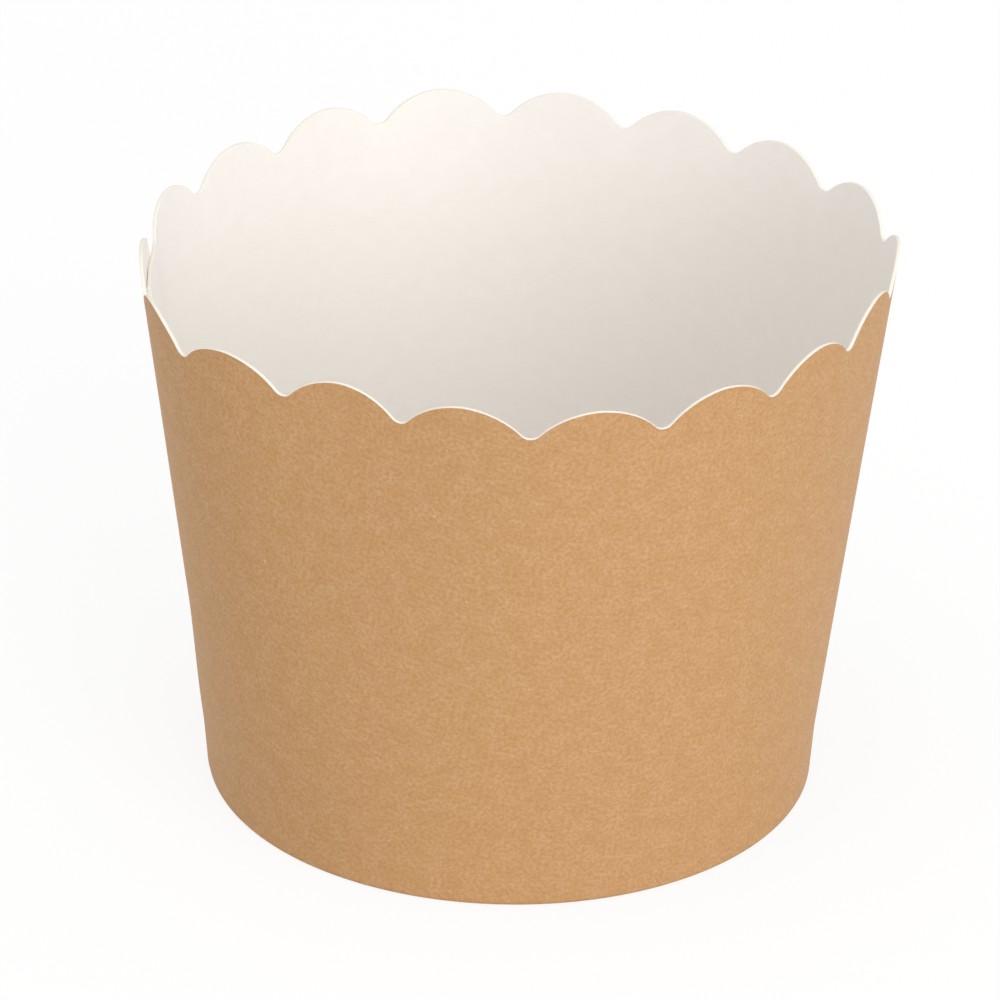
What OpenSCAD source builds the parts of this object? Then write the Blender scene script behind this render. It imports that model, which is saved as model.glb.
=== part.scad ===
// Baking cup of coated paperboard: a conical side wall with a scalloped rim, glued along a lapped
// side seam, and a skirted base disc held in a hem folded up inside the foot.
// Millimetres, +Z up, the foot stands on Z = 0 and the wall's axis is the Z axis.

/* [Overall] */
// Height from the foot to the top of the scallops
height = 54; // [45:0.5:70]
// Outer diameter at the top of the scallops
rim_d = 70; // [66:0.5:80]
// Outer diameter at the foot
foot_d = 57.4; // [50:0.2:62]

/* [Board] */
// Thickness of the side wall's board
wall_t = 0.4; // [0.3:0.05:0.6]
// Thickness of the base disc's board
base_t = 0.4; // [0.3:0.05:0.6]
// Clearance that the glue fills on each side of the skirt
glue_gap = 0.02; // [0.01:0.01:0.05]

/* [Scallops] */
// Number of scallops round the rim
scallops = 18; // [14:1:22]
// Depth of a scallop from its crest to the valley
scallop_depth = 2.65; // [1.8:0.05:3.2]
// Radius of the valley between two scallops
valley_r = 1.1; // [0.6:0.1:1.4]

/* [Side seam] */
// Width of the glued overlap at the rim
seam_w = 7; // [5:0.5:9]
// Width at the rim over which the outer ply steps down past the inner ply's edge
step_w = 2; // [1.5:0.5:3]

/* [Foot] */
// Depth of the recess under the base disc
recess = 5; // [4:0.5:8]
// How much the foot band's radius grows over its height
foot_flare = 0.4; // [0.2:0.05:0.6]
// Distance from the hem's cut edge up to the underside of the base disc
hem_gap = 0.6; // [0.5:0.1:1.5]
// Inner radius of the crease where the wall folds up into the hem
crease_r = 0.06; // [0.03:0.01:0.12]
// Inner radius of the bend between the base disc and its skirt
bend_r = 0.3; // [0.15:0.05:0.4]

/* [Hidden] */
// Direction of the seam's middle, where a valley lies, in degrees from +X
seam_at = 170;
// How far the uncut wall and the cutters run past the finished rim
spare = scallop_depth / 2;
// Angle by which the outer ply passes the inner ply's edge before it steps down, in degrees
seam_bite = 0.2;
// Width of the step's faces, as a multiple of the step's own, so that they end inside the board
step_run = 1.2;
// Share of the outer ply's thickness at which its face starts to step down
step_start = 0.9;
// Steps in a quarter turn of a fold, and in each arc of a scallop
fold_steps = 6;
arc_steps = 10;
$fn = 144;

foot_r = foot_d / 2;
// Height of the foot band, up to the top face of the base disc
band_h = recess + base_t;
band_top_r = foot_r + foot_flare;
// Lean of the wall and of the foot band away from upright
wall_a = atan((rim_d / 2 - band_top_r) / (height - band_h));
band_a = atan(foot_flare / band_h);
// The foot's plies, measured square to the band: the slot for the skirt, and all of them
slot_w = base_t + 2 * glue_gap;
foot_plies = 2 * wall_t + slot_w;
fold_r = crease_r + wall_t;
hem_h = recess - hem_gap;
uncut_h = height + spare;

pitch_a = 360 / scallops;
// Half the distance between two crests, and the crest's radius, which is tangent to the valley's
half_pitch = rim_d / 2 * sin(pitch_a / 2);
crest_r = (half_pitch ^ 2 + scallop_depth ^ 2) / (2 * scallop_depth) - valley_r;
// Level at a valley from which the scallops are laid out, so that the crests end at the full height
layout_h = height - wall_t * sin(wall_a) - rim_d / 2 * (1 - cos(pitch_a / 2)) * tan(wall_a);

// Angles that the seam and its step span, and where the two plies end
seam_a = seam_w / rim_d * 360 / PI;
step_a = step_w / rim_d * 360 / PI;
outer_edge = seam_at - seam_a / 2;
inner_edge = seam_at + seam_a / 2;

// Radius of the wall's outer face at height z, moved outwards by e square to the face
function band_face(z, e = 0) = foot_r + z * tan(band_a) + e / cos(band_a);
function wall_face(z, e = 0) = band_top_r + (z - band_h) * tan(wall_a) + e / cos(wall_a);

// Points of an arc about c, from angle a0 to a1
function arc(c, r, a0, a1, steps) =
    [for (i = [0 : steps]) let (a = a0 + (a1 - a0) * i / steps) c + r * [cos(a), sin(a)]];

// Centre of a fold of radius r at height z that is tangent to the band's face moved by e; side is
// 1 where the face lies outside the centre and -1 where it lies inside
function fold_centre(z, r, e, side) = [band_face(z, e - side * r), z];

// Section of the wall's board: the wall, the crease at the foot and the hem inside it
module wall_section() {
    outer = fold_centre(fold_r, fold_r, 0, 1);
    inner = fold_centre(fold_r, fold_r, -foot_plies, -1);
    polygon(concat(
        arc(outer, fold_r, -90, -band_a, fold_steps),
        [[wall_face(band_h), band_h], [wall_face(uncut_h), uncut_h],
         [wall_face(uncut_h, -wall_t), uncut_h], [wall_face(band_h, -wall_t), band_h]],
        arc(outer, crease_r, -band_a, -90, fold_steps),
        arc(inner, crease_r, -90, -180 - band_a, fold_steps),
        [[band_face(hem_h, -wall_t - slot_w), hem_h], [band_face(hem_h, -foot_plies), hem_h]],
        arc(inner, fold_r, -180 - band_a, -90, fold_steps)
    ));
}

// Section of a ply from above the crease to the uncut rim, between two faces moved by e0 and e1
module ply_section(e0, e1) {
    bottom = fold_r + crease_r;
    polygon([
        [band_face(bottom, e0), bottom], [band_face(bottom, e1), bottom],
        [wall_face(band_h, e1), band_h], [wall_face(uncut_h, e1), uncut_h],
        [wall_face(uncut_h, e0), uncut_h], [wall_face(band_h, e0), band_h]
    ]);
}

// Outer ply of the lapped seam, which lies on the wall over the seam's width. It is trimmed above
// the crease, so that the foot stays flat.
module seam_ply() {
    rotate([0, 0, outer_edge])
        rotate_extrude(angle = seam_a + seam_bite)
            ply_section(-wall_t / 2, wall_t);
}

// Wedge beside the inner ply's edge, over the step's width and a little more. Its back face is
// moved by e_back, and its front face by e_start at the edge and by e_end at the other side.
module step_wedge(e_back, e_start, e_end, bottom, top) {
    ends = [inner_edge, inner_edge + step_run * step_a];
    points = [
        for (z = [bottom, band_h, top], side = [0, 1], front = [0, 1])
            let (
                e = front == 0 ? e_back : side == 0 ? e_start : e_end,
                r = z < band_h ? band_face(z, e) : wall_face(z, e)
            )
            [r * cos(ends[side]), r * sin(ends[side]), z]
    ];
    // Corners of one level in turn: back and front at the edge, then front and back at the end
    ring = [0, 1, 3, 2];
    polyhedron(points, concat(
        [ring, [for (i = [3 : -1 : 0]) ring[i] + 8]],
        [for (k = [0, 4], i = [0 : 3]) let (a = ring[i] + k, b = ring[(i + 1) % 4] + k)
            each [[a, a + 4, b + 4], [a, b + 4, b]]]
    ));
}

// Outline of what is cut away at one valley, from crest to crest
module valley_outline() {
    valley = [0, valley_r - scallop_depth];
    crest = [half_pitch, -crest_r];
    // Where the crest's arc meets the valley's, seen from the valley's centre
    meet_a = atan2(crest.y - valley.y, crest.x - valley.x);
    half = concat(
        arc(valley, valley_r, -90, meet_a, arc_steps),
        arc(crest, crest_r, meet_a + 180, 90, arc_steps),
        [[half_pitch + spare, 0], [half_pitch + spare, 2 * spare]]
    );
    polygon(concat(half, [for (i = [len(half) - 1 : -1 : 1]) [-half[i].x, half[i].y]]));
}

// The die's cuts between the scallops, square to the board, with one in the seam's middle
module scallop_cuts() {
    for (i = [0 : scallops - 1])
        rotate([0, 0, seam_at + i * pitch_a])
            translate([wall_face(layout_h), 0, layout_h])
                rotate([0, wall_a, 0])
                    rotate([90, 0, 90])
                        linear_extrude(height = half_pitch, center = true)
                            valley_outline();
}

// One board: rolled into a cone, lapped and glued at the side, and hemmed at the foot. The ply, the
// step and its cut each start and end at a level of their own, so that no two faces coincide.
module side_wall() {
    color("burlywood")
        difference() {
            union() {
                rotate_extrude() wall_section();
                seam_ply();
                step_wedge(
                    -0.75 * wall_t, step_start * wall_t, (1 - step_run) * wall_t,
                    fold_r + 1.5 * crease_r, uncut_h - spare / 4
                );
            }
            step_wedge(
                -wall_t - slot_w / 2, 0, -step_run * wall_t,
                fold_r + 2 * crease_r, uncut_h + spare
            );
            scallop_cuts();
        }
}

// Disc with its edge pressed down into a skirt that stands in the foot between wall and hem
module base_disc() {
    skirt_e = -wall_t - glue_gap;
    bend_out_r = bend_r + base_t;
    bend = fold_centre(band_h - bend_out_r, bend_out_r, skirt_e, 1);
    skirt_z = fold_r + glue_gap;
    color("white")
        rotate_extrude()
            polygon(concat(
                [[0, recess], [0, band_h]],
                arc(bend, bend_out_r, 90, -band_a, fold_steps),
                [[band_face(skirt_z, skirt_e), skirt_z],
                 [band_face(skirt_z, skirt_e - base_t), skirt_z]],
                arc(bend, bend_r, -band_a, 90, fold_steps)
            ));
}

side_wall();
base_disc();
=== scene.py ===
"""Paperboard baking cup: a scalloped, tapered side wall with a lapped seam and a hemmed foot, and a
skirted base disc. Each board is one closed sheet, brown on its outer face, coated white on its inner
face, with a white cut edge. Lengths are metres and the cup stands on z = 0."""
import math

import bpy
import numpy as np
from mathutils import Matrix, Vector


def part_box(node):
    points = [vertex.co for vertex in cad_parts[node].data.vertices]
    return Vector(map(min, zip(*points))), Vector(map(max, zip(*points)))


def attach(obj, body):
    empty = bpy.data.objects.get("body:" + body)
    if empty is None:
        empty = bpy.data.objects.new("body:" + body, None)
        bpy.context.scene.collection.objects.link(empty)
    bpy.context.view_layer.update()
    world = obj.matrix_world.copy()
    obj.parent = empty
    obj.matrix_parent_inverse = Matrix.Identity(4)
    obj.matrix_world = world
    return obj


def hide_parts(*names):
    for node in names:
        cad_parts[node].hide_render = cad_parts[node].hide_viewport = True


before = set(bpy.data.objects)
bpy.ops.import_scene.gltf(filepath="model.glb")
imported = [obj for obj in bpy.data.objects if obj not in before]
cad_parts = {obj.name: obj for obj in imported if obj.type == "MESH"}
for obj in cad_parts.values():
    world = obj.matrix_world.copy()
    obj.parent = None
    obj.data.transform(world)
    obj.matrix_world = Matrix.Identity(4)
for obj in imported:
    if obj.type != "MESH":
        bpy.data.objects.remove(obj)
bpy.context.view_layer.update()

MM = 0.001

# Sizes of the cup that the frame gives: its height and the radius at the scallops' crests
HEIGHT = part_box("side_wall")[1].z
RIM_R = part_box("side_wall")[1].x
BAND_TOP_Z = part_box("base_disc")[1].z

# Board and glue
WALL_T = 0.4 * MM
BASE_T = 0.4 * MM
GLUE = 0.02 * MM

# Scallops, with a valley at this direction
SCALLOPS = 18
VALLEY_AT = math.radians(170)
SCALLOP_DEPTH = 2.65 * MM
VALLEY_R = 1.1 * MM

# Side seam: where its middle lies, and the width of the overlap and of the step beside it, both at
# the rim
SEAM_AT = math.radians(180)
SEAM_W = 7 * MM
STEP_W = 2 * MM
# Angle by which the outer ply passes the inner ply's edge before it steps back in
SEAM_BITE = math.radians(0.2)
# The outer ply is skived towards the foot: the share of its thickness left there, and the height
# over which it grows to the whole
SKIVED_SHARE = 0.15
SKIVE_H = 22 * MM
# Angle before the outer ply's free edge over which the wall bends in under that ply
BEND_IN = math.radians(9)
# The stiff lap flattens the rim: by how much in its middle, and the angle it reaches to each side
SEAM_FLAT = 0.15 * MM
FLAT_REACH = math.radians(30)

# Foot: the band around the base, the hem inside it and its folds
FOOT_R = 28.7 * MM
BAND_TOP_R = FOOT_R + 0.4 * MM
HEM_GAP = 0.6 * MM
CREASE_R = 0.06 * MM
BEND_R = 0.3 * MM

PITCH = 2 * math.pi / SCALLOPS
WALL_LEAN = math.atan((RIM_R - BAND_TOP_R) / (HEIGHT - BAND_TOP_Z))
BAND_LEAN = math.atan((BAND_TOP_R - FOOT_R) / BAND_TOP_Z)
SLOT_W = BASE_T + 2 * GLUE
FOOT_PLIES = 2 * WALL_T + SLOT_W
FOLD_R = CREASE_R + WALL_T
RECESS = BAND_TOP_Z - BASE_T

# How far out of round the rolled rim is: the number of lobes round the rim, their height, and the
# direction of a crest in degrees from +X. The first one draws the whole rim in.
ROLL_WAVES = (
    (0, -0.15 * MM, 0),
    (2, 0.2 * MM, -10),
    (3, 0.15 * MM, -150),
    (4, 0.7 * MM, -75),
    (5, 0.15 * MM, -75),
    (6, 0.2 * MM, -85),
    (7, 0.2 * MM, -97),
)
# Power of the height above the base with which these lobes grow
WAVE_GROWTH = 1.3
# Share of the height above the base at which the lap's press is whole
PRESS_SHARE = 0.3


def band_face(z, out=0.0):
    """Radius of the foot band at height z, moved outwards by out square to its face."""
    return FOOT_R + z * math.tan(BAND_LEAN) + out / math.cos(BAND_LEAN)


def wall_face(z, out=0.0):
    """Radius of the wall's outer cone at height z, moved outwards by out square to its face."""
    return BAND_TOP_R + (z - BAND_TOP_Z) * math.tan(WALL_LEAN) + out / math.cos(WALL_LEAN)


def arc(centre, radius, start, end, steps):
    """Points of a circle's arc: centre + radius * (cos t, sin t), with t from start to end."""
    t = np.linspace(start, end, steps + 1)
    return np.stack([centre[0] + radius * np.cos(t), centre[1] + radius * np.sin(t)], axis=-1)


def smooth_step(x):
    """0 below 0 and 1 above 1, with the smooth rise x * x * (3 - 2 * x) between."""
    x = np.clip(x, 0, 1)
    return x * x * (3 - 2 * x)


def past_lap(angle):
    """How far an angle lies past the place where the outer ply starts to step back in, as a share
    of the step's width."""
    return (angle - SEAM_AT - (SEAM_W / 2) / RIM_R - SEAM_BITE) / (STEP_W / RIM_R)


def lap_press(angle):
    """How far the lap draws the wall in at full height: a board's thickness over the lap, falling to
    none over the step on one side and over the bend on the other, plus the flat."""
    near = (angle - SEAM_AT + math.pi) % (2 * math.pi) - math.pi
    before = -(SEAM_W / 2) / RIM_R - near
    lap = (1 - smooth_step(past_lap(near + SEAM_AT))) * (1 - smooth_step(before / BEND_IN))
    return WALL_T * lap + SEAM_FLAT * smooth_step(1 - np.abs(near) / FLAT_REACH)


def out_of_round(angle, z):
    """Sum of height * cos(lobes * (angle - crest)), which grows from none at the base to its full
    size at the rim, less the lap's press, which is whole from a low height on."""
    total = sum(h * np.cos(n * (angle - math.radians(at))) for n, h, at in ROLL_WAVES)
    share = np.clip((z - BAND_TOP_Z) / (HEIGHT - BAND_TOP_Z), 0, None)
    return total * share ** WAVE_GROWTH - lap_press(angle) * smooth_step(share / PRESS_SHARE)


# Scalloped rim

HALF_PITCH = RIM_R * math.sin(PITCH / 2)
CREST_R = (HALF_PITCH ** 2 + SCALLOP_DEPTH ** 2) / (2 * SCALLOP_DEPTH) - VALLEY_R
VALLEY_Y = VALLEY_R - SCALLOP_DEPTH
MEET_X = VALLEY_R * math.cos(math.atan2(-CREST_R - VALLEY_Y, HALF_PITCH))
LAYOUT_Z = (
    HEIGHT - WALL_T * math.sin(WALL_LEAN)
    - RIM_R * (1 - math.cos(PITCH / 2)) * math.tan(WALL_LEAN)
)
# Steps in half a valley's arc and in half a crest's arc, and rounds that find the cut's height
VALLEY_STEPS = 5
CREST_STEPS = 9
CUT_ROUNDS = 6


def scallop_outline(x):
    """Height of the cut below the crests at distance x from a valley: the valley's circle up to
    where it meets the crest's circle, and that circle from there on."""
    x = np.abs(x)
    valley = VALLEY_Y - np.sqrt(np.maximum(VALLEY_R ** 2 - x ** 2, 0))
    crest = -CREST_R + np.sqrt(np.maximum(CREST_R ** 2 - (HALF_PITCH - x) ** 2, 0))
    return np.where(x < MEET_X, valley, crest)


def rim_height(angle, out):
    """Height at which the die's cut, which is square to the board, leaves the face that lies out
    from the wall's outer face. The cut runs along the normal of the plane that touches the cone at
    the nearest valley, so the radius and height are found together by a few rounds. The flap under
    the lap has no scallops: from the last valley on it is cut straight at the valley's depth."""
    offset = (angle - VALLEY_AT + PITCH / 2) % PITCH - PITCH / 2
    offset = np.where(angle > VALLEY_AT + 2 * math.pi, 0, offset)
    touch_r = wall_face(LAYOUT_Z)
    radius = touch_r + out
    for _ in range(CUT_ROUNDS):
        y = scallop_outline(radius * np.sin(offset))
        along = (radius * np.cos(offset) - touch_r - y * math.sin(WALL_LEAN)) / math.cos(WALL_LEAN)
        z = LAYOUT_Z + y * math.cos(WALL_LEAN) - along * math.sin(WALL_LEAN)
        radius = wall_face(z, out)
    return z


def scallop_angles():
    """Angles of one pitch about a valley, closest together in that tight valley: equal steps along
    the crest's circle, then along the valley's, and the same mirrored."""
    valley = VALLEY_R * np.sin(np.linspace(0, math.asin(MEET_X / VALLEY_R), VALLEY_STEPS + 1))
    sweep = math.asin((HALF_PITCH - MEET_X) / CREST_R)
    crest = HALF_PITCH - CREST_R * np.sin(np.linspace(sweep, 0, CREST_STEPS + 1))
    half = np.arcsin(np.concatenate([valley, crest[1:]]) / RIM_R)
    return np.concatenate([-half[:0:-1], half[:-1]])


# Meshes

# Faces that meet at more than this angle keep a crisp edge between them
CRISP_ANGLE = math.radians(45)


def build_piece(name, points, flat, faces, slots, materials, same=None):
    """Makes a mesh object at the origin. Faces is a list of arrays, each with one face's points in
    a row, slots gives each face's material, and flat each point's place on the flat board. Where
    same is given, it tells for each point which point it is joined to."""
    corners = np.concatenate([f.ravel() for f in faces])
    sizes = np.concatenate([np.full(len(f), f.shape[1]) for f in faces])
    used, corner_points = np.unique(corners if same is None else same[corners], return_inverse=True)
    mesh = bpy.data.meshes.new(name)
    mesh.vertices.add(len(used))
    mesh.vertices.foreach_set("co", points[used].ravel())
    mesh.loops.add(len(corners))
    mesh.loops.foreach_set("vertex_index", corner_points.ravel())
    mesh.polygons.add(len(sizes))
    mesh.polygons.foreach_set("loop_start", np.cumsum(sizes) - sizes)
    for material in materials:
        mesh.materials.append(material)
    mesh.polygons.foreach_set("material_index", np.concatenate(slots))
    layer = mesh.uv_layers.new(name="flat_board")
    layer.data.foreach_set("uv", flat[corners].ravel())
    mesh.update(calc_edges=True)
    mesh.polygons.foreach_set("use_smooth", np.ones(len(sizes), bool))
    mesh.set_sharp_from_angle(angle=CRISP_ANGLE)
    mesh.validate()
    piece = bpy.data.objects.new(name, mesh)
    bpy.context.scene.collection.objects.link(piece)
    return piece


# Steps up the hem, in each quarter of the crease, up the foot band and up the wall, and steps over
# the width where the outer ply steps back in
HEM_STEPS = 3
FOLD_STEPS = 6
BAND_STEPS = 5
WALL_STEPS = 26
STEP_STEPS = 5
# Least angle between a column of a scallop and one of the seam
COLUMN_GAP = math.radians(0.12)
# How far above the crease the lap is trimmed
LAP_FOOT = 0.3 * MM
# Faint ribs round the hem where the board was folded in
HEM_RIBS = 72
HEM_RIB_DEPTH = 0.04 * MM
# The rim's cut edge: how far its rounded middle stands above its corners, places across it as shares
# of the board's thickness, the share of the rounding that is lost there, and the share of the
# thickness that the die has pinched away
EDGE_ROUND = 0.05 * MM
EDGE_ACROSS = (0.15, 0.5, 0.85)
EDGE_DROP = (0.25, 0.0, 0.25)
EDGE_PINCH = 0.2
# Material slots of a board's two faces and its cut edge
KRAFT, WHITE, CUT = 0, 1, 2


def foot_section(white):
    """Section of one face of the board from the hem's cut edge, down the hem, round the crease and
    up to the foot band's start: two straight stretches and two quarter arcs."""
    hem_out = -WALL_T - SLOT_W if white else -FOOT_PLIES
    radius = CREASE_R if white else FOLD_R
    hem_z = np.linspace(RECESS - HEM_GAP, FOLD_R, HEM_STEPS + 1)[:-1]
    hem = np.stack([band_face(hem_z, hem_out), hem_z], axis=-1)
    inner = (band_face(FOLD_R, FOLD_R - FOOT_PLIES), FOLD_R)
    outer = (band_face(FOLD_R, -FOLD_R), FOLD_R)
    quarter = math.pi / 2
    return np.concatenate([
        hem,
        arc(inner, radius, -math.pi - BAND_LEAN, -quarter, FOLD_STEPS),
        arc(outer, radius, -quarter, -BAND_LEAN, FOLD_STEPS),
    ])


def wall_sheet(angle, white):
    """One face of the side wall's board as a grid over the angle round the cup and the way from the
    hem to the rim. The foot is the section above turned about the axis. From there the face is a
    steep cone up to the base's top, and one that leans more up to the scalloped rim, drawn out of
    round. Over the seam the board lies on itself, thin at the foot, and beside it steps back in."""
    past = past_lap(angle)[:, None]
    foot = foot_section(white)
    r = np.repeat(foot[None, :, 0], len(angle), axis=0)
    z = np.repeat(foot[None, :, 1], len(angle), axis=0)
    ribs = HEM_RIB_DEPTH * (0.5 - 0.5 * np.cos(HEM_RIBS * angle))
    r[:, :HEM_STEPS] -= ribs[:, None]

    def face_out(z):
        """How far out from the wall's outer cone the face lies at height z."""
        whole = smooth_step((z - FOLD_R) / SKIVE_H)
        ply = WALL_T * (SKIVED_SHARE + (1 - SKIVED_SHARE) * whole)
        lift = ply * (1 - smooth_step(past))
        return np.where(past < 0, GLUE, lift - WALL_T) if white else lift

    band_z = np.linspace(FOLD_R + LAP_FOOT, BAND_TOP_Z, BAND_STEPS + 1)[None, :-1]
    band_z = np.repeat(band_z, len(angle), axis=0)
    top_out = face_out(HEIGHT)
    top = rim_height(angle[:, None], top_out)
    rise = np.linspace(0, 1, WALL_STEPS + 1)[None, :]
    wall_z = BAND_TOP_Z + (top - EDGE_ROUND - BAND_TOP_Z) * rise
    band_r = band_face(band_z, face_out(band_z))
    r = np.concatenate([r, band_r, wall_face(wall_z, face_out(wall_z))], axis=1)
    z = np.concatenate([z, band_z, wall_z], axis=1)
    r = r + out_of_round(angle[:, None], z)
    return np.stack([r * np.cos(angle)[:, None], r * np.sin(angle)[:, None], z], axis=-1)


def wall_angles():
    """Angles of the sheet's columns, from the outer ply's free edge, over the lap and the step, once
    round the cup and on under the lap to the inner ply's free edge."""
    half_seam = SEAM_W / RIM_R / 2
    outer_edge = SEAM_AT - half_seam
    inner_edge = SEAM_AT + half_seam
    step_end = inner_edge + SEAM_BITE + STEP_W / RIM_R
    turn = 2 * math.pi
    regular = VALLEY_AT + (np.arange(-1, SCALLOPS + 1)[:, None] * PITCH + scallop_angles()).ravel()
    special = np.concatenate([
        [outer_edge, inner_edge, inner_edge + turn, outer_edge + turn],
        np.linspace(inner_edge + SEAM_BITE, step_end, STEP_STEPS + 1),
    ])
    inside = (regular > outer_edge) & (regular < inner_edge + turn)
    clear = np.abs(regular[:, None] - special[None, :]).min(axis=1) > COLUMN_GAP
    angles = np.sort(np.concatenate([regular[inside & clear], special]))
    return angles, int(np.searchsorted(angles, inner_edge - 1e-9))


def flat_blank(angle, points):
    """Places of the grid's points on the flat board: a cone unrolls into a sector, whose radius is
    the slant height and whose angle is the angle round the cup times the sine of the lean."""
    steps = np.linalg.norm(np.diff(points, axis=1), axis=-1)
    travel = np.concatenate([np.zeros((len(angle), 1)), np.cumsum(steps, axis=1)], axis=1)
    slant = BAND_TOP_R / math.sin(WALL_LEAN) + travel - travel[:, -WALL_STEPS - 1, None]
    turn = (angle - SEAM_AT - math.pi)[:, None] * math.sin(WALL_LEAN)
    middle = RIM_R / math.sin(WALL_LEAN)
    return np.stack([slant * np.sin(turn), slant * np.cos(turn) - middle], axis=-1)


def side_wall_mesh():
    """Points, flat places, faces and face materials of the side wall's closed sheet. Its two faces
    are grids with the same columns and rows. The crease and hem close into a ring, and every free
    edge of the board gets a strip from one face to the other. Along the rim the die has pinched the
    board thinner and left the edge rounded."""
    angle, ring_start = wall_angles()
    kraft = wall_sheet(angle, False)
    white = wall_sheet(angle, True)
    columns, rows = kraft.shape[:2]
    crease_row = HEM_STEPS + 2 * FOLD_STEPS + 1
    white[:, -1] += (kraft[:, -1] - white[:, -1]) * EDGE_PINCH
    share = np.array(EDGE_ACROSS)[None, :, None]
    drop = np.array(EDGE_DROP)[None, :, None] * EDGE_ROUND
    up = kraft[:, -1] - kraft[:, -2]
    up = up / np.linalg.norm(up, axis=-1, keepdims=True)
    across = kraft[:, -1:] * (1 - share) + white[:, -1:] * share
    edge = across + up[:, None, :] * (EDGE_ROUND - drop)
    points = np.concatenate([kraft.reshape(-1, 3), white.reshape(-1, 3), edge.reshape(-1, 3)])
    flat = flat_blank(angle, kraft)
    rim_flat = np.repeat(flat[:, -1], len(EDGE_ACROSS), axis=0)
    flat = np.concatenate([flat.reshape(-1, 2), flat.reshape(-1, 2), rim_flat])

    ids = np.arange(columns * rows).reshape(columns, rows)
    other = ids + columns * rows
    edge_ids = 2 * columns * rows + np.arange(columns * len(EDGE_ACROSS)).reshape(columns, -1)
    same = np.arange(len(points))
    for side in (ids, other):
        same[side[-1, :crease_row + 1]] = side[ring_start, :crease_row + 1]

    # Cells of the grid that hold board: all but the lap's below its trimmed edge
    solid = np.ones((columns - 1, rows - 1), bool)
    solid[:ring_start, :crease_row + 1] = False
    # Cells with the hem's cut edge or the lap's trimmed edge below them, and those at the sheet's
    # two free side edges
    low = solid & ~np.pad(solid, ((0, 0), (1, 0)))[:, :-1]
    first = solid & ~np.pad(solid, ((1, 0), (0, 0)))[:-1]
    first[ring_start, :crease_row] = False
    last = np.zeros_like(solid)
    last[-1, crease_row:] = True

    def strip(a, b, c, d):
        return np.stack([a, b, c, d], axis=-1).reshape(-1, 4)

    faces, slots = [], []

    def add(new, slot):
        faces.append(new)
        slots.append(np.full(len(new), slot))

    i, j = np.nonzero(solid)
    add(strip(ids[i, j], ids[i + 1, j], ids[i + 1, j + 1], ids[i, j + 1]), KRAFT)
    add(strip(other[i, j], other[i, j + 1], other[i + 1, j + 1], other[i + 1, j]), WHITE)
    i, j = np.nonzero(low)
    add(strip(ids[i, j], other[i, j], other[i + 1, j], ids[i + 1, j]), CUT)
    i, j = np.nonzero(first)
    add(strip(ids[i, j], ids[i, j + 1], other[i, j + 1], other[i, j]), CUT)
    i, j = np.nonzero(last)
    add(strip(ids[i + 1, j], other[i + 1, j], other[i + 1, j + 1], ids[i + 1, j + 1]), CUT)
    rim = np.concatenate([ids[:, -1:], edge_ids, other[:, -1:]], axis=1)
    add(strip(rim[:-1, :-1], rim[1:, :-1], rim[1:, 1:], rim[:-1, 1:]), CUT)
    add(np.stack([rim[0], rim[-1, ::-1]]), CUT)
    return points, flat, faces, slots, same


# Columns round the base, and steps across the disc, in its bend and down its skirt
BASE_COLUMNS = 144
BASE_RINGS = 12
BEND_STEPS = 6
SKIRT_STEPS = 3
BASE_SAG = 0.2 * MM
# Puckers round the base's edge, and the share of its radius at which they start
PUCKERS = 40
PUCKER_DEPTH = 0.03 * MM
PUCKER_START = 0.85


def base_section():
    """Section of the base disc, from the centre of its top out to the bend, down the skirt, round
    its cut edge, back up inside and in to the centre of its underside, with each point's finish."""
    skirt_out = -WALL_T - GLUE
    skirt_z = FOLD_R + GLUE
    bend_out = BEND_R + BASE_T
    centre = (band_face(BAND_TOP_Z - bend_out, skirt_out - bend_out), BAND_TOP_Z - bend_out)
    quarter = math.pi / 2
    reach = centre[0] * np.linspace(0, 1, BASE_RINGS + 1)[1:-1]
    drop_z = np.linspace(centre[1], skirt_z, SKIRT_STEPS + 1)[1:]
    top = np.stack([reach, np.full(len(reach), BAND_TOP_Z)], axis=-1)
    bend = arc(centre, bend_out, quarter, -BAND_LEAN, BEND_STEPS)
    outer = np.stack([band_face(drop_z, skirt_out), drop_z], axis=-1)
    inner = np.stack([band_face(drop_z[::-1], skirt_out - BASE_T), drop_z[::-1]], axis=-1)
    inner_bend = arc(centre, BEND_R, -BAND_LEAN, quarter, BEND_STEPS)
    under = np.stack([reach[::-1], np.full(len(reach), RECESS)], axis=-1)
    section = np.concatenate([top, bend, outer, inner, inner_bend, under])
    white_rows = len(top) + len(bend) + len(outer) - 1
    finish = np.full(len(section) - 1, KRAFT)
    finish[:white_rows] = WHITE
    finish[white_rows] = CUT
    return section, finish


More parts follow.
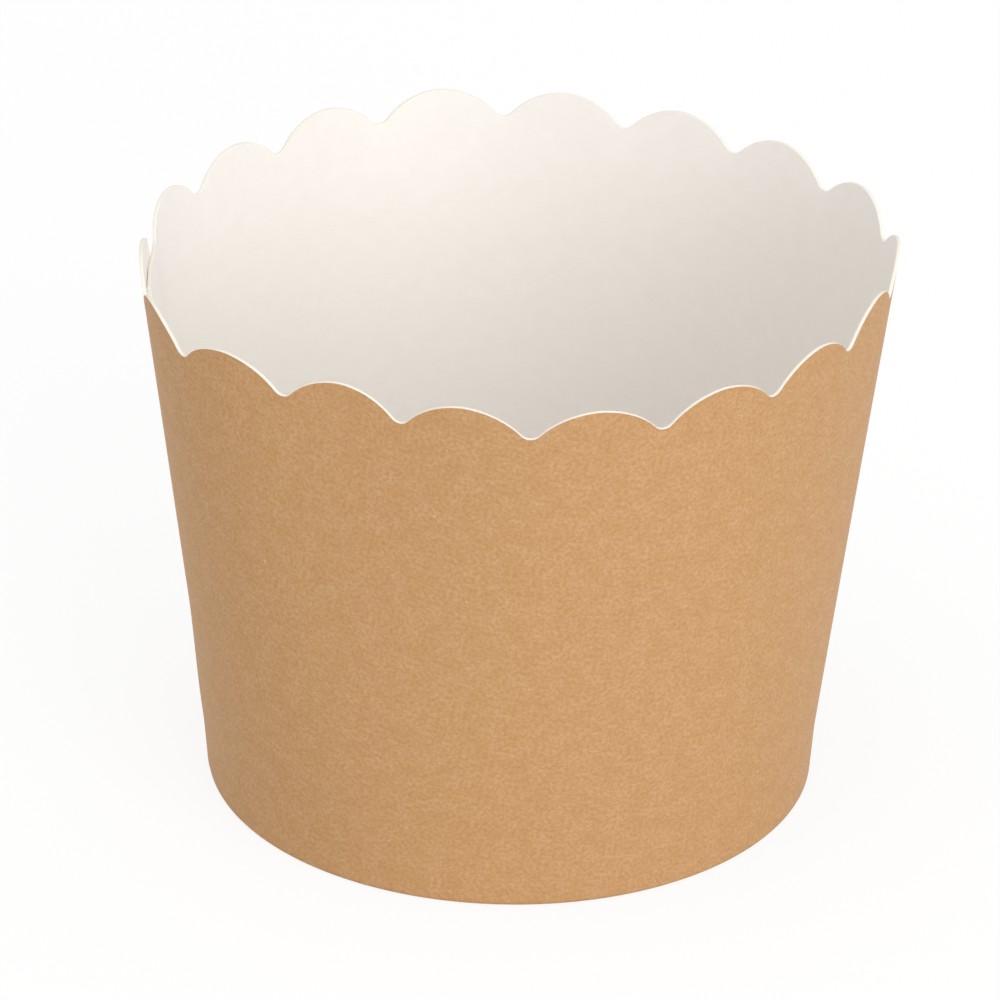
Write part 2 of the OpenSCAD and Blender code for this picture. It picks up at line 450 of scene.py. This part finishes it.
def base_disc_mesh():
    """The base's section turned about the axis, with one point at each pole. The disc sags by
    sag * (1 - (r / rim)^2)^2, and its edge puckers where the board was pressed down into the skirt:
    half the depth * (1 - cos(puckers * angle)), fading inwards with the radius."""
    section, finish = base_section()
    angle = np.linspace(0, 2 * math.pi, BASE_COLUMNS, endpoint=False)
    r = np.repeat(section[None, :, 0], BASE_COLUMNS, axis=0)
    z = np.repeat(section[None, :, 1], BASE_COLUMNS, axis=0)
    on_disc = section[None, :, 1] >= RECESS
    share = np.clip(r / r.max(), 0, 1)
    pucker = PUCKER_DEPTH * (0.5 - 0.5 * np.cos(PUCKERS * angle))[:, None]
    pucker = pucker * smooth_step((share - PUCKER_START) / (1 - PUCKER_START))
    z = z - np.where(on_disc, BASE_SAG * (1 - share ** 2) ** 2, 0)
    z = z - np.where(on_disc, pucker, 0)
    points = np.stack([r * np.cos(angle)[:, None], r * np.sin(angle)[:, None], z], axis=-1)
    rows = points.shape[1]
    steps = np.linalg.norm(np.diff(section, axis=0), axis=-1)
    travel = section[0, 0] + np.concatenate([[0], np.cumsum(steps)])
    travel = np.minimum(travel, travel[-1] + section[-1, 0] - travel)
    flat = travel[None, :, None] * np.stack([np.cos(angle), np.sin(angle)], axis=-1)[:, None, :]
    poles = np.array([[0, 0, BAND_TOP_Z - BASE_SAG], [0, 0, RECESS - BASE_SAG]])
    points = np.concatenate([points.reshape(-1, 3), poles])
    flat = np.concatenate([flat.reshape(-1, 2), np.zeros((2, 2))])
    ids = np.arange(BASE_COLUMNS * rows).reshape(BASE_COLUMNS, rows)
    after = np.roll(ids, -1, axis=0)
    quads = np.stack([ids[:, :-1], ids[:, 1:], after[:, 1:], after[:, :-1]], axis=-1)
    top_pole, under_pole = BASE_COLUMNS * rows, BASE_COLUMNS * rows + 1
    tops = np.stack([ids[:, 0], after[:, 0], np.full(BASE_COLUMNS, top_pole)], axis=-1)
    unders = np.stack([after[:, -1], ids[:, -1], np.full(BASE_COLUMNS, under_pole)], axis=-1)
    slots = [
        np.tile(finish, BASE_COLUMNS),
        np.full(BASE_COLUMNS, WHITE),
        np.full(BASE_COLUMNS, KRAFT),
    ]
    return points, flat, [quads.reshape(-1, 4), tops, unders], slots


# Materials

# Spots per metre of the pulp's clouds and grain, of the fibres along the sheet and across it, and of
# the pale specks
CLOUD_SCALE = 520
GRAIN_SCALE = 2600
ALONG_SCALE = 4600
SLANTED_SCALE = 4300
FLECK_SCALE = 1900
# Share of the fibres in the pulp's relief, beside the grain
FIBRE_RELIEF = 0.03


def make_group(name, outputs):
    """A shader node group that takes a vector and puts out named values."""
    group = bpy.data.node_groups.new(name, "ShaderNodeTree")
    group.interface.new_socket(name="Vector", in_out="INPUT", socket_type="NodeSocketVector")
    for label in outputs:
        group.interface.new_socket(name=label, in_out="OUTPUT", socket_type="NodeSocketFloat")
    return group, group.nodes.new("NodeGroupInput"), group.nodes.new("NodeGroupOutput")


def math_node(tree, operation, a, b):
    """One operation on two values, each a number or another node's output."""
    node = tree.nodes.new("ShaderNodeMath")
    node.operation = operation
    for slot, value in enumerate((a, b)):
        if isinstance(value, (int, float)):
            node.inputs[slot].default_value = value
        else:
            tree.links.new(value, node.inputs[slot])
    return node.outputs[0]


def noise_node(tree, vector, scale, detail, roughness=0.5):
    """Soft noise from 0 to 1 with scale spots per metre, and finer ones in it for each detail."""
    node = tree.nodes.new("ShaderNodeTexNoise")
    node.inputs["Scale"].default_value = scale
    node.inputs["Detail"].default_value = detail
    node.inputs["Roughness"].default_value = roughness
    tree.links.new(vector, node.inputs["Vector"])
    return node.outputs["Fac"]


def stretched(tree, vector, scale, turn):
    """The vector turned and then scaled by one factor on each axis."""
    node = tree.nodes.new("ShaderNodeMapping")
    node.inputs["Rotation"].default_value = (0, 0, turn)
    node.inputs["Scale"].default_value = scale
    tree.links.new(vector, node.inputs["Vector"])
    return node.outputs[0]


def threshold(tree, value, low, high):
    """0 below low and 1 above high, with a smooth rise between."""
    node = tree.nodes.new("ShaderNodeMapRange")
    node.interpolation_type = "SMOOTHSTEP"
    node.inputs["From Min"].default_value = low
    node.inputs["From Max"].default_value = high
    tree.links.new(value, node.inputs["Value"])
    return node.outputs[0]


def paper_fibre_group():
    """Pulp as it shows on a board's face, from its place on the flat board in metres. Clouds are
    the uneven pulp, Grain the fine mottle, Fibres single short dark fibres along and across the
    sheet, Flecks rare pale specks, and Height the relief of the grain and the fibres."""
    group, given, result = make_group("paper_fibre", ("Clouds", "Grain", "Fibres", "Flecks", "Height"))
    place = given.outputs["Vector"]
    clouds = noise_node(group, place, CLOUD_SCALE, 1)
    grain = noise_node(group, place, GRAIN_SCALE, 3, 0.8)
    lines = noise_node(group, stretched(group, place, (0.16, 1, 1), 0.12), ALONG_SCALE, 0)
    crossing = noise_node(group, stretched(group, place, (0.2, 1, 1), -0.75), SLANTED_SCALE, 0)
    along = threshold(group, lines, 0.655, 0.74)
    slanted = threshold(group, crossing, 0.665, 0.75)
    fibres = math_node(group, "MAXIMUM", along, slanted)
    flecks = threshold(group, noise_node(group, place, FLECK_SCALE, 0), 0.88, 0.9)
    height = math_node(group, "ADD", grain, math_node(group, "MULTIPLY", fibres, FIBRE_RELIEF))
    for label, value in (
        ("Clouds", clouds), ("Grain", grain), ("Fibres", fibres), ("Flecks", flecks), ("Height", height)
    ):
        group.links.new(value, result.inputs[label])
    return group


def mix_colour(tree, factor, first, second):
    """The first colour where the factor is 0, the second where it is 1, and a blend between."""
    node = tree.nodes.new("ShaderNodeMix")
    node.data_type = "RGBA"
    for slot, value in ((0, factor), (6, first), (7, second)):
        if isinstance(value, (int, float)):
            node.inputs[slot].default_value = value
        elif isinstance(value, tuple):
            node.inputs[slot].default_value = (*value, 1)
        else:
            tree.links.new(value, node.inputs[slot])
    return node.outputs[2]


def srgb(r, g, b):
    """Linear colour of an sRGB one in 0 to 255, none of them near black."""
    return tuple(((c / 255 + 0.055) / 1.055) ** 2.4 for c in (r, g, b))


def board_material(name, fibre_group):
    """A material with a Principled shader and the fibre group fed from the flat board's UV map."""
    material = bpy.data.materials.new(name)
    material.use_nodes = True
    tree = material.node_tree
    shader = tree.nodes["Principled BSDF"]
    uv = tree.nodes.new("ShaderNodeUVMap")
    uv.uv_map = "flat_board"
    fibre = tree.nodes.new("ShaderNodeGroup")
    fibre.node_tree = fibre_group
    tree.links.new(uv.outputs["UV"], fibre.inputs["Vector"])
    return material, tree, shader, fibre


def finish_paper(tree, shader, fibre, tone, mottle, mottle_share, roughness, depth):
    """Sets what every face has: its colour, a roughness to which a share of the pulp's mottle is
    added, and the pulp's relief of the given depth."""
    tree.links.new(tone, shader.inputs["Base Color"])
    uneven = math_node(tree, "MULTIPLY", mottle, mottle_share)
    tree.links.new(math_node(tree, "ADD", uneven, roughness), shader.inputs["Roughness"])
    bump = tree.nodes.new("ShaderNodeBump")
    bump.inputs["Distance"].default_value = depth
    tree.links.new(fibre.outputs["Height"], bump.inputs["Height"])
    tree.links.new(bump.outputs["Normal"], shader.inputs["Normal"])


def kraft_face(fibre_group):
    """Brown kraft face: warm tan, mottled by the pulp, with dark fibres and rare pale specks."""
    material, tree, shader, fibre = board_material("kraft_face", fibre_group)
    clouds = threshold(tree, fibre.outputs["Clouds"], 0.3, 0.7)
    grain = threshold(tree, fibre.outputs["Grain"], 0.3, 0.7)
    dark = math_node(tree, "MULTIPLY", math_node(tree, "SUBTRACT", 1.0, grain), 0.72)
    fibres = math_node(tree, "MULTIPLY", fibre.outputs["Fibres"], 0.04)
    flecks = math_node(tree, "MULTIPLY", fibre.outputs["Flecks"], 0.3)
    tone = mix_colour(tree, clouds, srgb(200, 154, 102), srgb(206, 161, 113))
    tone = mix_colour(tree, dark, tone, srgb(174, 128, 79))
    tone = mix_colour(tree, fibres, tone, srgb(140, 98, 56))
    tone = mix_colour(tree, flecks, tone, srgb(238, 222, 200))
    finish_paper(tree, shader, fibre, tone, grain, -0.08, roughness=0.66, depth=0.015 * MM)
    return material


def white_face(fibre_group):
    """Coated white face: warm white and satin, with the pulp only just showing through."""
    material, tree, shader, fibre = board_material("white_coated_face", fibre_group)
    fibres = math_node(tree, "MULTIPLY", fibre.outputs["Fibres"], 0.05)
    tone = mix_colour(tree, fibre.outputs["Clouds"], srgb(238, 234, 228), srgb(242, 238, 233))
    tone = mix_colour(tree, fibres, tone, srgb(214, 203, 190))
    shader.inputs["Specular IOR Level"].default_value = 0.4
    grain = fibre.outputs["Grain"]
    finish_paper(tree, shader, fibre, tone, grain, 0.1, roughness=0.42, depth=0.006 * MM)
    return material


def cut_face(fibre_group):
    """Die-cut edge of the board: pale pulp, matt and slightly fuzzy."""
    material, tree, shader, fibre = board_material("white_cut_edge", fibre_group)
    grain = fibre.outputs["Grain"]
    tone = mix_colour(tree, grain, srgb(230, 223, 212), srgb(239, 233, 223))
    finish_paper(tree, shader, fibre, tone, grain, 0.1, roughness=0.82, depth=0.04 * MM)
    return material


# The cup

fibre_group = paper_fibre_group()
finishes = [kraft_face(fibre_group), white_face(fibre_group), cut_face(fibre_group)]

*wall_parts, wall_joins = side_wall_mesh()
wall_board = build_piece("side_wall_board", *wall_parts, finishes, wall_joins)
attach(wall_board, "root")
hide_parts("side_wall")

base_board = build_piece("base_disc_board", *base_disc_mesh(), finishes)
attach(base_board, "root")
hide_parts("base_disc")


# Floor, light and camera

# The floor: half its width, how much it reflects to the cup and to the camera, and the share of
# plain white in what the camera sees
FLOOR_HALF = 3.0
FLOOR_SHADE = 0.7
FLOOR_SEEN = 0.95
BACKGROUND_SHARE = 0.85
WORLD_STRENGTH = 0.805
WORLD_TINT = (1.0, 0.99, 0.98)
# Width of each softbox and its distance from the cup's middle
LAMP_SIZE = 0.8
LAMP_DISTANCE = 1.2


def seen_directly(tree):
    """1 for a ray from the camera or through a glossy or clear surface, 0 for one that lights."""
    path = tree.nodes.new("ShaderNodeLightPath")
    seen = math_node(tree, "MAXIMUM", path.outputs["Is Camera Ray"], path.outputs["Is Glossy Ray"])
    return math_node(tree, "MAXIMUM", seen, path.outputs["Is Transmission Ray"])


def white_floor():
    """A pale floor that looks white where no shadow falls on it: part of what the camera sees is
    plain white, and the rest is the lit floor with the cup's shadow."""
    h = FLOOR_HALF
    mesh = bpy.data.meshes.new("floor")
    mesh.from_pydata([(-h, -h, 0), (h, -h, 0), (h, h, 0), (-h, h, 0)], [], [(0, 1, 2, 3)])
    floor = bpy.data.objects.new("floor", mesh)
    bpy.context.scene.collection.objects.link(floor)
    material = bpy.data.materials.new("floor_white")
    material.use_nodes = True
    tree = material.node_tree
    tree.nodes.remove(tree.nodes["Principled BSDF"])
    lit = tree.nodes.new("ShaderNodeBsdfDiffuse")
    shade = mix_colour(tree, seen_directly(tree), (FLOOR_SHADE,) * 3, (FLOOR_SEEN,) * 3)
    tree.links.new(shade, lit.inputs["Color"])
    plain = tree.nodes.new("ShaderNodeEmission")
    plain.inputs["Color"].default_value = (1, 1, 1, 1)
    mix = tree.nodes.new("ShaderNodeMixShader")
    share = math_node(tree, "MULTIPLY", seen_directly(tree), BACKGROUND_SHARE)
    tree.links.new(share, mix.inputs[0])
    tree.links.new(lit.outputs[0], mix.inputs[1])
    tree.links.new(plain.outputs[0], mix.inputs[2])
    tree.links.new(mix.outputs[0], tree.nodes["Material Output"].inputs["Surface"])
    mesh.materials.append(material)


def studio_world():
    """Even, slightly warm light from all round, and plain white where it is seen directly."""
    world = bpy.data.worlds.new("studio")
    world.use_nodes = True
    tree = world.node_tree
    back = tree.nodes["Background"]
    light = tuple(WORLD_STRENGTH * c for c in WORLD_TINT)
    seen = mix_colour(tree, seen_directly(tree), light, (1.0, 1.0, 1.0))
    tree.links.new(seen, back.inputs["Color"])
    bpy.context.scene.world = world


def soft_lamp(name, direction, power, colour=(1, 1, 1)):
    """A square softbox that faces the cup's middle from a direction in degrees: azimuth from +X and
    elevation."""
    azimuth, elevation = (math.radians(v) for v in direction)
    away = Vector((
        math.cos(elevation) * math.cos(azimuth),
        math.cos(elevation) * math.sin(azimuth),
        math.sin(elevation),
    ))
    data = bpy.data.lights.new(name, "AREA")
    data.size = LAMP_SIZE
    data.energy = power
    data.color = colour
    lamp = bpy.data.objects.new(name, data)
    lamp.location = Vector((0, 0, HEIGHT / 2)) + away * LAMP_DISTANCE
    lamp.rotation_euler = (-away).to_track_quat("-Z", "Y").to_euler()
    bpy.context.scene.collection.objects.link(lamp)


# The photograph's view: how far the camera's line turns to the right of +Y and down, how far the
# picture is turned, and the point it aims at, above the foot and left of the cup's axis
CAMERA_AZIMUTH = math.radians(2.3)
CAMERA_ELEVATION = math.radians(27.25)
CAMERA_ROLL = math.radians(0.8)
CAMERA_DISTANCE = 683.5 * MM
CAMERA_LENS = 262
SENSOR_WIDTH = 36
AIM_HEIGHT = 27.3 * MM
AIM_LEFT = 1.2 * MM


def photo_camera():
    """A long lens that looks down on the cup from the front, turned a little about its own axis."""
    a, e, roll = CAMERA_AZIMUTH, CAMERA_ELEVATION, CAMERA_ROLL
    forward = Vector((math.sin(a) * math.cos(e), math.cos(a) * math.cos(e), -math.sin(e)))
    right = forward.cross(Vector((0, 0, 1))).normalized()
    up = right.cross(forward)
    aim = Vector((0, 0, AIM_HEIGHT)) - right * AIM_LEFT
    place = aim - forward * CAMERA_DISTANCE
    turned_right = right * math.cos(roll) + up * math.sin(roll)
    turned_up = up * math.cos(roll) - right * math.sin(roll)
    data = bpy.data.cameras.new("camera")
    data.lens = CAMERA_LENS
    data.sensor_width = SENSOR_WIDTH
    data.clip_start = 10 * MM
    camera = bpy.data.objects.new("camera", data)
    bpy.context.scene.collection.objects.link(camera)
    turn = Matrix((turned_right, turned_up, -forward)).transposed()
    camera.matrix_world = Matrix.Translation(place) @ turn.to_4x4()
    bpy.context.scene.camera = camera


white_floor()
studio_world()
soft_lamp("key", (-62, 24), power=7.0, colour=(0.965, 0.985, 1.0))
soft_lamp("top", (-140, 76), power=2.0)
photo_camera()
bpy.context.scene.view_settings.view_transform = "Standard"
